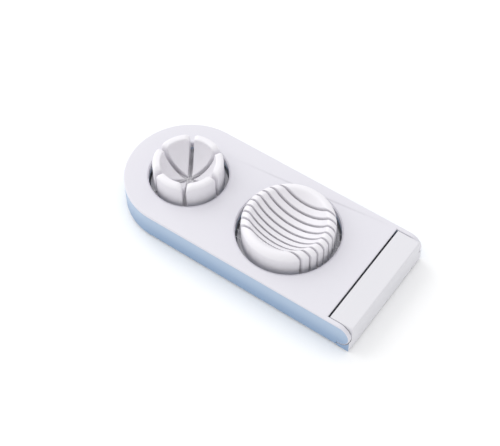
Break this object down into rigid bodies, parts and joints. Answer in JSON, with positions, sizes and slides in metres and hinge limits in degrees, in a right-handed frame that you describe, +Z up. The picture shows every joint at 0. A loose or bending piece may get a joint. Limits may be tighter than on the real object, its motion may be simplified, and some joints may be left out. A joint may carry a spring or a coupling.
{
  "type": "egg slicer",
  "caption": "Hinged egg slicer: a wire-strung lid closes over a slotted slicing cradle and a petalled wedging cradle on a low base with one rounded end.",
  "frame": {"origin": "on the table, under the middle of the body's bounding box", "axes": "+X along the body towards the hinge end, +Z up"},
  "size_m": [0.206, 0.09, 0.0375],
  "materials": {
    "base_plastic": "satin moulded white",
    "cradle_plastic": "satin moulded white",
    "lid_cover_plastic": "satin moulded white",
    "lid_frame_plastic": "satin moulded pale blue",
    "wire_steel": "drawn bright wire",
    "screw_steel": "zinc plated",
    "pin_steel": "turned bright",
    "foot_rubber": "matt pale grey"
  },
  "bodies": {
    "base": {"base_tray": "base_plastic", "slicing_cradle": "cradle_plastic", "wedging_cradle": "cradle_plastic", "cradle_screws": "screw_steel", "foot_hinge_left": "foot_rubber", "foot_hinge_right": "foot_rubber", "foot_front_left": "foot_rubber", "foot_front_right": "foot_rubber", "hinge_pin_left": "pin_steel", "hinge_pin_right": "pin_steel"},
    "lid": {"lid_frame": "lid_frame_plastic", "lid_cover": "lid_cover_plastic", "lid_screws": "screw_steel", "slice_wire_1": "wire_steel", "slice_wire_2": "wire_steel", "slice_wire_3": "wire_steel", "slice_wire_4": "wire_steel", "slice_wire_5": "wire_steel", "slice_wire_6": "wire_steel", "slice_wire_7": "wire_steel", "slice_wire_8": "wire_steel", "slice_wire_9": "wire_steel", "wedge_wire_1": "wire_steel", "wedge_wire_2": "wire_steel", "wedge_wire_3": "wire_steel"}
  },
  "joints": [
    {"name": "lid_hinge", "type": "hinge", "parent": "base", "child": "lid", "pos_m": [0.0935, 0, 0.0135], "axis": [0, 1, 0], "range_deg": [0, 84]}
  ]
}
